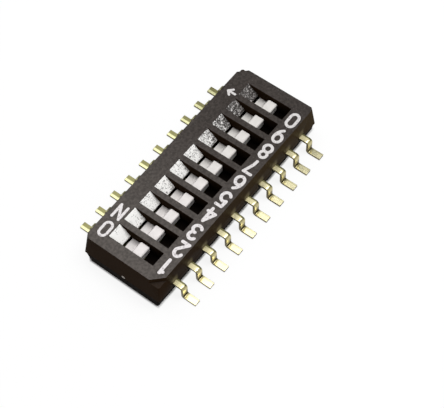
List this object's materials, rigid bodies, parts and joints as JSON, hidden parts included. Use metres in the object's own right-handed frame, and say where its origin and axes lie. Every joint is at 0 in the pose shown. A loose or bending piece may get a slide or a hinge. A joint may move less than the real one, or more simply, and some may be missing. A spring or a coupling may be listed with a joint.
{
  "type": "dip switch",
  "caption": "Low surface-mount slide switch bank: a slotted moulded housing with a row of recessed sliders and gull-wing solder terminals along both long sides.",
  "frame": {"origin": "centre of the footprint at the underside of the solder feet, which is the board's surface", "axes": "+X along the row from position 1 to position 10, +Y towards the ON side, +Z away from the board"},
  "size_m": [0.0142, 0.008, 0.0022],
  "materials": {
    "housing_plastic": "fine matte black moulding",
    "base_plastic": "matte black moulding",
    "slider_plastic": "satin white moulding",
    "clip_metal": "gold-plated copper alloy spring leaf",
    "terminal_metal": "gold-plated copper alloy strip"
  },
  "bodies": {
    "housing": {"cover": "housing_plastic", "base": "base_plastic", "terminal_on_1": "terminal_metal", "terminal_on_2": "terminal_metal", "terminal_on_3": "terminal_metal", "terminal_on_4": "terminal_metal", "terminal_on_5": "terminal_metal", "terminal_on_6": "terminal_metal", "terminal_on_7": "terminal_metal", "terminal_on_8": "terminal_metal", "terminal_on_9": "terminal_metal", "terminal_on_10": "terminal_metal", "terminal_number_1": "terminal_metal", "terminal_number_2": "terminal_metal", "terminal_number_3": "terminal_metal", "terminal_number_4": "terminal_metal", "terminal_number_5": "terminal_metal", "terminal_number_6": "terminal_metal", "terminal_number_7": "terminal_metal", "terminal_number_8": "terminal_metal", "terminal_number_9": "terminal_metal", "terminal_number_10": "terminal_metal"},
    "slider_1": {"slider_1": "slider_plastic", "contact_clip_1": "clip_metal"},
    "slider_2": {"slider_2": "slider_plastic", "contact_clip_2": "clip_metal"},
    "slider_3": {"slider_3": "slider_plastic", "contact_clip_3": "clip_metal"},
    "slider_4": {"slider_4": "slider_plastic", "contact_clip_4": "clip_metal"},
    "slider_5": {"slider_5": "slider_plastic", "contact_clip_5": "clip_metal"},
    "slider_6": {"slider_6": "slider_plastic", "contact_clip_6": "clip_metal"},
    "slider_7": {"slider_7": "slider_plastic", "contact_clip_7": "clip_metal"},
    "slider_8": {"slider_8": "slider_plastic", "contact_clip_8": "clip_metal"},
    "slider_9": {"slider_9": "slider_plastic", "contact_clip_9": "clip_metal"},
    "slider_10": {"slider_10": "slider_plastic", "contact_clip_10": "clip_metal"}
  },
  "joints": [
    {"name": "slider_1_slide", "type": "slide", "parent": "housing", "child": "slider_1", "axis": [0, 1, 0], "range_m": [0, 0.00055]},
    {"name": "slider_2_slide", "type": "slide", "parent": "housing", "child": "slider_2", "axis": [0, 1, 0], "range_m": [0, 0.00055]},
    {"name": "slider_3_slide", "type": "slide", "parent": "housing", "child": "slider_3", "axis": [0, 1, 0], "range_m": [0, 0.00055]},
    {"name": "slider_4_slide", "type": "slide", "parent": "housing", "child": "slider_4", "axis": [0, 1, 0], "range_m": [0, 0.00055]},
    {"name": "slider_5_slide", "type": "slide", "parent": "housing", "child": "slider_5", "axis": [0, 1, 0], "range_m": [0, 0.00055]},
    {"name": "slider_6_slide", "type": "slide", "parent": "housing", "child": "slider_6", "axis": [0, 1, 0], "range_m": [0, 0.00055]},
    {"name": "slider_7_slide", "type": "slide", "parent": "housing", "child": "slider_7", "axis": [0, 1, 0], "range_m": [0, 0.00055]},
    {"name": "slider_8_slide", "type": "slide", "parent": "housing", "child": "slider_8", "axis": [0, 1, 0], "range_m": [0, 0.00055]},
    {"name": "slider_9_slide", "type": "slide", "parent": "housing", "child": "slider_9", "axis": [0, 1, 0], "range_m": [0, 0.00055]},
    {"name": "slider_10_slide", "type": "slide", "parent": "housing", "child": "slider_10", "axis": [0, 1, 0], "range_m": [0, 0.00055]}
  ]
}
